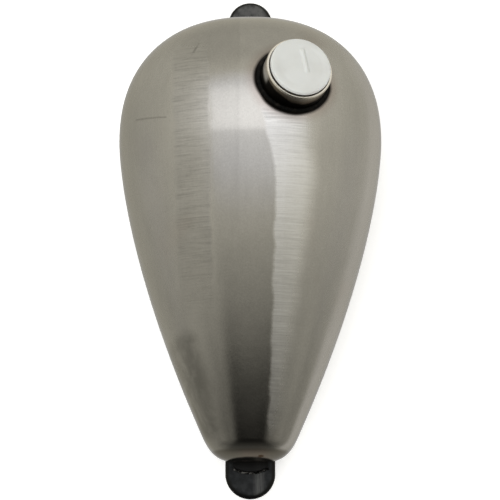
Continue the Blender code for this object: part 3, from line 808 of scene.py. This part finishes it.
def skin_panels():
    floor = (Vector((0, 0, 0)), Vector((0, 0, -1)))
    tail_seam = TAIL_Y + TAIL_PLATE_DEPTH
    ahead = (Vector((0, tail_seam + HAIR / 2, 0)), Vector((0, -1, 0)))
    behind = (Vector((0, tail_seam - HAIR / 2, 0)), Vector((0, 1, 0)))
    panel("shell_left_skin", "shell_left", [floor, ahead, seam_cut(-1, False)], False)
    panel("shell_right_skin", "shell_right", [floor, ahead, seam_cut(1, False)], True)
    panel("top_strip_skin", "top_strip",
          [floor, ahead, seam_cut(-1, True), seam_cut(1, True)], True)
    panel("tail_plate_skin", "tail_plate", [floor, behind], False)


TUNNEL_CUTTER = tunnel_cutter()
NECK_CUTTER = neck_cutter()
skin_panels()


# ---------------------------------------------------------------- underside

def tunnel_channel():
    """The tunnel's channel, its ends trimmed to the body's outside."""
    inner, outer = tunnel_arch(0), tunnel_arch(WALL)
    outline = [(outer[0][0], 0), *outer, (outer[-1][0], 0),
               (inner[-1][0], 0), *reversed(inner), (inner[0][0], 0)]
    made = prism("tunnel_channel", outline, -BODY_LENGTH, BODY_LENGTH)
    outside = hide_cutter(object_from(BODY.copy(), "body_outside"))
    boolean_now(made, "INTERSECT", outside)
    bpy.data.objects.remove(outside)
    smooth(made, 25)
    finish_piece(made, STEEL, "tank", "brushed_steel", "tunnel")


tunnel_channel()
for side_name in ("left", "right"):
    plate = frame["nodes"][f"bottom_{side_name}"]
    plate.data.materials.clear()
    plate.data.materials.append(STEEL)


# ---------------------------------------------------------------- seam beads inside

def seam_bead(node, side):
    low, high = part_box(node)
    count = 150
    path, normals = [], []
    for i in range(count):
        y = high.y + (low.y - high.y) * i / (count - 1)
        x = side * (SEAM_TAIL_X + (SEAM_FRONT_X - SEAM_TAIL_X) * (y - TAIL_Y) / BODY_LENGTH)
        hit, normal = BODY_TREE.ray_cast(Vector((x, y, 2 * CROWN_Z)), Vector((0, 0, -1)))[:2]
        path.append(hit - normal * (WALL + 1.6 * MM))
        normals.append(normal)
    made = bead(f"{node}_bead", path, normals, 1.5 * MM, 3 * MM, False, side)
    finish_piece(made, SEAM_WELD, "tank", "weld_metal", node)


seam_bead("seam_weld_left", -1)
seam_bead("seam_weld_right", 1)


# ---------------------------------------------------------------- tongue mounts

TAB_THICK = 3 * MM
TAB_ROLL = 6 * MM
TAB_DROP = 4.5 * MM
DOUBLER_END_R = 33 * MM


def tongue(node, direction, material):
    """A pressed tongue with a flat middle, its rim rolled down and its end full round."""
    low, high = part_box(node)
    width = high.x - low.x
    tip_y = high.y if direction > 0 else -low.y
    root_y = low.y if direction > 0 else -high.y
    top = high.z
    shape = bmesh.new()
    rings = []
    steps = 12
    for step in range(steps + 1):
        angle = math.pi / 2 * step / steps
        inset = TAB_ROLL * (1 - math.sin(angle))
        drop = TAB_DROP * (1 - math.cos(angle))
        radius = width / 2 - inset
        round_end = arc(0, tip_y - width / 2, radius, 0, math.pi, 49)
        outline = [(radius, root_y), *round_end, (-radius, root_y)]
        rings.append([shape.verts.new((x, y, top - drop)) for x, y in outline])
    shape.faces.new(rings[0])
    for inner, outer in zip(rings, rings[1:]):
        for k in range(len(inner) - 1):
            shape.faces.new((inner[k], outer[k], outer[k + 1], inner[k + 1]))
    bmesh.ops.scale(shape, verts=shape.verts, vec=(1, direction, 1))
    bmesh.ops.recalc_face_normals(shape, faces=shape.faces)
    shape.faces.ensure_lookup_table()
    if shape.faces[0].normal.z < 0:
        bmesh.ops.reverse_faces(shape, faces=shape.faces)
    made = object_from(shape, f"{node}_tongue")
    solidify_now(made, TAB_THICK)
    bevel(made, 0.35 * MM)
    smooth(made, 35)
    finish_piece(made, material, "tank", "scale_steel", node)


def doubler(node, direction, material):
    """The plate over a tongue, with an arc end and broken edges."""
    low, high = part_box(node)
    half = (high.x - low.x) / 2
    tip_y = high.y if direction > 0 else -low.y
    root_y = low.y if direction > 0 else -high.y
    radius = DOUBLER_END_R
    reach = math.asin(half / radius)
    end = arc(0, tip_y - radius, radius, math.pi / 2 - reach, math.pi / 2 + reach, 33)
    outline = [(half, root_y), *end, (-half, root_y)]
    shape = bmesh.new()
    face = shape.faces.new([shape.verts.new((x, direction * y, low.z)) for x, y in outline])
    extrude(shape, face, (0, 0, high.z - low.z))
    made = object_from(shape, f"{node}_plate")
    bevel(made, 0.3 * MM)
    smooth(made, 35)
    finish_piece(made, material, "tank", "scale_steel", node)


def tab_bead(node, direction):
    low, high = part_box(node)
    radius = DOUBLER_END_R + 1.4 * MM
    half = (high.x - low.x) / 2 - 1.2 * MM
    tip_y = high.y if direction > 0 else -low.y
    reach = math.asin(half / radius)
    count = 90
    line = arc(0, tip_y - 1.1 * MM - radius, radius, math.pi / 2 - reach,
               math.pi / 2 + reach, count)
    path = [Vector((x, direction * y, (low.z + high.z) / 2 - 0.1 * MM)) for x, y in line]
    made = bead(f"{node}_bead", path, [Vector((0, 0, 1))] * count, 1.15 * MM, 1.9 * MM,
                False, 3 + direction)
    finish_piece(made, TAB_WELD, "tank", "weld_metal", node)


for end_name, way, scale_finish in (("front", 1, FRONT_SCALE), ("rear", -1, REAR_SCALE)):
    tongue(f"{end_name}_tab", way, scale_finish)
    doubler(f"{end_name}_doubler", way, scale_finish)
    tab_bead(f"{end_name}_tab_weld", way)


# ---------------------------------------------------------------- filler neck, gasket and cap

BORE_R = 24 * MM
SEAT_R = BORE_R + 3.3 * MM
SEAT_DEPTH = 2 * MM
THREAD_DEPTH = 0.55 * MM


def thread_wave(angle, height, pitch):
    """0 to 1, once for each pitch, following a right-hand thread."""
    share = (height / pitch - angle / (2 * math.pi)) % 1.0
    return max(0.0, 1 - abs(2 * share - 1) * 1.6)


def stepped(radius, start, end, step):
    """Points down a wall from start to end, about a step apart."""
    count = max(2, int(abs(end - start) / step) + 1)
    return [(radius, start + (end - start) * i / count) for i in range(count + 1)]


def in_neck_frame(made):
    """Its mesh stays in the neck's own frame, so that its texture follows the axis."""
    made.matrix_world = NECK_FRAME
    return made


def filler_neck():
    chamfer = 0.7 * MM
    outer = stepped(NECK_R, NECK_TOP - chamfer, NECK_LOW, 1.2 * MM)
    grooves = stepped(BORE_R, NECK_LOW, NECK_TOP - SEAT_DEPTH - 0.5 * MM, 0.45 * MM)
    first_groove = 1 + len(outer)
    last_groove = first_groove + len(grooves) - 1
    profile = [(NECK_R - chamfer, NECK_TOP), *outer, *grooves,
               (BORE_R + 0.5 * MM, NECK_TOP - SEAT_DEPTH), (SEAT_R, NECK_TOP - SEAT_DEPTH),
               (SEAT_R, NECK_TOP - 0.4 * MM), (SEAT_R + 0.4 * MM, NECK_TOP)]

    def cut_thread(radius, angle, height, index):
        if first_groove < index < last_groove:
            return radius + THREAD_DEPTH * thread_wave(angle, height, CAP_PITCH), height
        return radius, height

    made = smooth(surface_of_turning("filler_neck_turned", profile, 144, cut_thread), 35)
    in_neck_frame(made)
    finish_piece(made, NECK_STEEL, "tank", "turned_steel", "filler_neck")


def neck_weld():
    """The bead round the neck's foot, on the body's surface."""
    count = 420
    radius = NECK_R + 0.9 * MM
    path, normals = [], []
    for i in range(count):
        angle = 2 * math.pi * i / count
        spoke = Vector((radius * math.cos(angle), radius * math.sin(angle), CROWN_Z))
        hit, normal = BODY_TREE.ray_cast(NECK_FRAME @ spoke, -NECK_AXIS)[:2]
        path.append(hit)
        normals.append(normal)
    made = bead("neck_weld_bead", path, normals, 2.6 * MM, 3.4 * MM, True, 7)
    finish_piece(made, BURNT_AND_SHADED_WELD, "tank", "weld_metal", "neck_weld")


def cap_gasket():
    low, high = node_heights("cap_gasket")
    outer = node_radius("cap_gasket")
    inner, r = BORE_R, (high - low) * 0.35
    profile = [
        *arc(outer - r, high - r, r, math.pi / 2, 0, 6),
        *arc(outer - r, low + r, r, 0, -math.pi / 2, 6),
        *arc(inner + r, low + r, r, -math.pi / 2, -math.pi, 6),
        *arc(inner + r, high - r, r, math.pi, math.pi / 2, 6),
    ]
    made = smooth(surface_of_turning("cap_gasket_ring", profile, 120), 60)
    in_neck_frame(made)
    finish_piece(made, RUBBER, "gasket", "black_rubber", "cap_gasket")


CAP_R = node_radius("filler_cap")
CAP_BOTTOM, CAP_HIGH = node_heights("filler_cap")
RIDGE_HEIGHT = 1.3 * MM
CAP_TOP = CAP_HIGH - RIDGE_HEIGHT
CAP_LOW = CAP_TOP - 5.5 * MM
PLUG_R = BORE_R - 0.6 * MM
PLUG_WALL = 2.6 * MM
RIDGE_MIDDLE = (3.4 * MM, 5.5 * MM)
RIDGE_TURN = math.radians(9)
CAP_RIBS = 96


def soft_step(value, low, high):
    share = min(max((value - low) / (high - low), 0), 1)
    return share * share * (3 - 2 * share)


def cap_relief(x, y):
    """The cap's top over its flat: a shallow dish inside a wide rim, and the thumb ridge."""
    from_axis = math.hypot(x, y)
    dish = -0.40 * MM * soft_step(CAP_R - from_axis, 3.0 * MM, 9.0 * MM)
    x, y = x - RIDGE_MIDDLE[0], y - RIDGE_MIDDLE[1]
    along = y * math.cos(RIDGE_TURN) - x * math.sin(RIDGE_TURN)
    across = x * math.cos(RIDGE_TURN) + y * math.sin(RIDGE_TURN)
    bar = soft_step(2.0 * MM - abs(across), -0.9 * MM, 1.5 * MM)
    ends = soft_step(12.4 * MM - abs(along), -1.2 * MM, 2.6 * MM)
    return dish + (RIDGE_HEIGHT + 0.35 * MM) * bar * ends


def filler_cap():
    """A moulded disc with a rounded, finely ribbed edge, over a hollow plug with a thread."""
    edge_r = 1.8 * MM
    flat = [((CAP_R - edge_r) * i / 60, CAP_TOP) for i in range(60)]
    edge = arc(CAP_R - edge_r, CAP_TOP - edge_r, edge_r, math.pi / 2, 0, 9)
    skirt = [(CAP_R, CAP_LOW + 1.5 * MM), (CAP_R - 1.3 * MM, CAP_LOW + 1.1 * MM),
             (CAP_R - 1.4 * MM, CAP_LOW), (PLUG_R + 0.4 * MM, CAP_LOW)]
    plug_side = stepped(PLUG_R, CAP_LOW - 0.6 * MM, CAP_BOTTOM + 0.5 * MM, 0.6 * MM)
    ribbed = range(len(flat) + 3, len(flat) + len(edge) + 1)
    first = len(flat) + len(edge) + len(skirt)
    threaded = range(first + 1, first + len(plug_side) - 1)
    hollow = PLUG_R - PLUG_WALL
    profile = [
        *flat, *edge, *skirt, *plug_side,
        (PLUG_R - 0.5 * MM, CAP_BOTTOM), (hollow, CAP_BOTTOM),
        (hollow, CAP_TOP - 3.6 * MM), (hollow - 0.6 * MM, CAP_TOP - 3.0 * MM),
        (0, CAP_TOP - 3.0 * MM),
    ]

    def shape_it(radius, angle, height, index):
        if index < len(flat):
            across, ahead = radius * math.cos(angle), radius * math.sin(angle)
            return radius, height + cap_relief(across, ahead)
        if index in ribbed:
            return radius - 0.14 * MM * (1 - math.cos(CAP_RIBS * angle)) / 2, height
        if index in threaded:
            return radius + 0.3 * MM * thread_wave(angle, height, CAP_PITCH), height
        return radius, height

    profile[0] = (0, CAP_TOP + cap_relief(0, 0))
    moulding = surface_of_turning("filler_cap_moulding", profile, 4 * CAP_RIBS, shape_it)
    made = in_neck_frame(smooth(moulding, 40))
    finish_piece(made, WHITE_PLASTIC, "cap", "white_plastic", "filler_cap")


filler_neck()
neck_weld()
cap_gasket()
filler_cap()


# ---------------------------------------------------------------- petcock bung and plug

BUNG_PITCH = 1.5 * MM
BUNG_BORE_R = 6.2 * MM
PLUG_HEAD_R = 8.7 * MM


def at_plug(made):
    made.matrix_world = Matrix.Translation((PLUG_FOOT.x, PLUG_FOOT.y, 0))
    return made


def petcock_bung():
    """The bung, threaded inside, with a recess for the plug's head."""
    low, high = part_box("petcock_bung")
    outer, top = (high.x - low.x) / 2, high.z
    bore, recess, recess_z = BUNG_BORE_R, 9.3 * MM, 4.2 * MM
    walls = stepped(bore, recess_z + 0.4 * MM, top - 0.4 * MM, 0.3 * MM)
    profile = [
        (outer - 0.5 * MM, top), (outer, top - 0.5 * MM), (outer, 0.3 * MM),
        (outer - 0.3 * MM, 0), (recess + 0.3 * MM, 0), (recess, 0.3 * MM),
        (recess, recess_z), (bore + 0.4 * MM, recess_z), *walls, (bore + 0.4 * MM, top),
    ]
    first, last = 8, 8 + len(walls) - 1

    def groove(radius, angle, height, index):
        deep = first < index < last
        return radius + (0.3 * MM * thread_wave(angle, height, BUNG_PITCH) if deep else 0), height

    made = smooth(surface_of_turning("petcock_bung_turned", profile, 96, groove), 35)
    finish_piece(at_plug(made), BUNG_STEEL, "tank", "turned_steel", "petcock_bung")


def thread_plug():
    """The plug, with a thread and a hexagonal socket."""
    head, shank = PLUG_HEAD_R, 5.8 * MM
    face, shoulder, tip = 0.5 * MM, 2.5 * MM, 11 * MM
    walls = stepped(shank, tip - 0.6 * MM, shoulder + 0.2 * MM, 0.3 * MM)
    profile = [
        (0, tip), (shank - 0.6 * MM, tip), *walls, (head - 0.3 * MM, shoulder),
        (head, shoulder - 0.3 * MM), (head, face + 0.4 * MM), (head - 0.4 * MM, face), (0, face),
    ]
    last = 2 + len(walls) - 1

    def ridge(radius, angle, height, index):
        proud = 2 < index < last
        return radius + (0.2 * MM * thread_wave(angle, height, BUNG_PITCH) if proud else 0), height

    made = surface_of_turning("thread_plug_moulding", profile, 72, ridge)
    socket = surface_of_turning("hex_socket", [(0, 6.5 * MM), (4.04 * MM, 6.5 * MM),
                                               (4.04 * MM, -6 * MM), (0, -6 * MM)], 6)
    hide_cutter(socket)
    boolean_now(made, "DIFFERENCE", socket)
    bpy.data.objects.remove(socket)
    smooth(made, 35)
    finish_piece(at_plug(made), RED_PLASTIC, "plug", "red_plastic", "thread_plug")


def plug_washer():
    low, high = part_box("plug_washer")
    r = (high.z - low.z) * 0.3
    profile = [
        *arc(PLUG_HEAD_R - r, high.z - r, r, math.pi / 2, 0, 5),
        *arc(PLUG_HEAD_R - r, low.z + r, r, 0, -math.pi / 2, 5),
        (BUNG_BORE_R, low.z), (BUNG_BORE_R, high.z),
    ]
    made = smooth(surface_of_turning("plug_washer_ring", profile, 72), 60)
    finish_piece(at_plug(made), RUBBER, "washer", "black_rubber", "plug_washer")


petcock_bung()
thread_plug()
plug_washer()
bpy.data.objects.remove(TUNNEL_CUTTER)
bpy.data.objects.remove(NECK_CUTTER)
BODY.free()


# ---------------------------------------------------------------- floor, light and camera

BACKDROP_R = 9.0           # metres, and half its height


def glow(g, strength):
    g.shader.inputs["Emission Color"].default_value = (1, 1, 1, 1)
    g.shader.inputs["Emission Strength"].default_value = strength


def pale_floor():
    shape = bmesh.new()
    bmesh.ops.create_grid(shape, x_segments=1, y_segments=1, size=12)
    bmesh.ops.translate(shape, verts=shape.verts, vec=(0, 0, -0.2 * MM))
    made = object_from(shape, "floor")
    g = new_graph("pale_floor")
    g.set(Base_Color=(0.92, 0.92, 0.92), Roughness=0.9)
    glow(g, 0.45)
    made.data.materials.append(g.owner)
    made.visible_glossy = False


def white_backdrop():
    """A far round wall that low views see behind the tank. It lights and mirrors nothing."""
    shape = bmesh.new()
    bmesh.ops.create_cone(shape, segments=64, radius1=BACKDROP_R, radius2=BACKDROP_R,
                          depth=2 * BACKDROP_R)
    made = smooth(object_from(shape, "backdrop"), 30)
    g = new_graph("white_backdrop")
    g.set(Base_Color=(0, 0, 0), Roughness=1.0)
    g.shader.inputs["Specular IOR Level"].default_value = 0
    glow(g, 1.0)
    made.data.materials.append(g.owner)
    made.visible_diffuse = False
    made.visible_glossy = False
    made.visible_transmission = False
    made.visible_shadow = False


def ramp(g, share, stops):
    """A colour ramp from (degrees over the front horizon, level, warmth) stops."""
    made = g.node("ShaderNodeValToRGB")
    elements = made.color_ramp.elements
    while len(elements) < len(stops):
        elements.new(0.5)
    for element, (degrees, level, warmth) in zip(elements, stops):
        element.position = (degrees + 90) / 360
        element.color = (level * (1 + 0.03 * warmth), level, level * (1 - 0.13 * warmth), 1)
    g.feed(made.inputs[0], share)
    return made.outputs[0]


def studio_world():
    """A soft studio all round: a wide bright panel in front and above, a dark area behind and
    above, mid grey walls that are a little warm, and a pale floor below."""
    world = bpy.data.worlds.new("studio")
    bpy.context.scene.world = world
    g = Graph(world)
    direction = g.node("ShaderNodeTexCoord").outputs["Generated"]
    x, y, z = g.split(direction)
    turn = g.math("WRAP", g.math("ARCTAN2", z, y), 1.5 * math.pi, -0.5 * math.pi)
    over = g.range(turn, -0.5 * math.pi, 1.5 * math.pi, 0, 1, smooth_step=False)
    middle = ramp(g, over, [(-90, 0.60, 0), (-60, 0.66, 0), (-40, 0.58, 1), (-15, 0.45, 1),
                            (25, 0.45, 1), (38, 0.58, 1), (47, 0.88, 0), (53, 1.18, 0),
                            (64, 1.28, 0), (71.5, 1.22, 0), (75.5, 0.88, 0), (92, 0.72, 0),
                            (104, 0.47, 1), (116, 0.29, 1), (127, 0.07, 1), (135, 0.01, 1),
                            (158, 0.02, 1), (182, 0.05, 1), (200, 0.10, 1), (220, 0.34, 1),
                            (270, 0.60, 0)])
    walls = ramp(g, over, [(-90, 0.50, 1), (0, 0.54, 1), (40, 0.60, 1), (66, 0.64, 1),
                           (90, 0.58, 1), (108, 0.52, 1), (122, 0.35, 1), (134, 0.20, 1),
                           (146, 0.14, 1), (185, 0.14, 1), (215, 0.30, 1), (270, 0.50, 1)])
    ends = ramp(g, over, [(-90, 0.44, 1), (0, 0.49, 1), (90, 0.52, 1), (120, 0.47, 1),
                          (150, 0.39, 1), (180, 0.31, 1), (215, 0.34, 1), (270, 0.44, 1)])
    sideways = g.math("ABSOLUTE", g.math("SUBTRACT", x, 0.02))
    colour = g.mix(g.range(sideways, 0.32, 0.58), middle, walls)
    colour = g.mix(g.range(g.math("ABSOLUTE", x), 0.55, 0.95), colour, ends)
    colour = g.mix(g.range(g.math("ABSOLUTE", x), 0.93, 1.0), colour, (0.48, 0.465, 0.42))
    low_right = g.math("MULTIPLY", g.range(x, 0.40, 0.62), g.range(z, -0.30, -0.55))
    colour = g.mix(g.math("MULTIPLY", low_right, 0.8), colour, (0.68, 0.66, 0.62))
    background = g.tree.nodes["Background"]
    g.feed(background.inputs["Color"], colour)
    background.inputs["Strength"].default_value = 1.0


def fill_light(name, at, size, energy):
    """A big soft light for the floor and the plastic, which the steel doesn't mirror."""
    light = bpy.data.lights.new(name, "AREA")
    light.shape = "RECTANGLE"
    light.size, light.size_y = size, size
    light.energy = energy
    made = bpy.data.objects.new(name, light)
    bpy.context.scene.collection.objects.link(made)
    made.location = at
    made.rotation_euler = (-made.location).to_track_quat("-Z", "Y").to_euler()
    made.visible_glossy = False


def camera():
    elevation = math.radians(76)
    distance = 1.6
    target = Vector((-0.3 * MM, -20.6 * MM, 80 * MM))
    data = bpy.data.cameras.new("camera")
    data.sensor_width = 36
    data.lens = 120.168
    made = bpy.data.objects.new("camera", data)
    bpy.context.scene.collection.objects.link(made)
    back = Vector((0, -math.cos(elevation), math.sin(elevation)))
    made.location = target + back * distance
    made.rotation_euler = (-back).to_track_quat("-Z", "Y").to_euler()
    bpy.context.scene.camera = made


pale_floor()
white_backdrop()
studio_world()
fill_light("overhead_fill", (-0.3, 0.3, 2.2), 2.4, 20)
fill_light("rear_fill", (-0.5, -1.7, 1.2), 1.2, 16)
camera()
bpy.context.scene.view_settings.view_transform = "Standard"
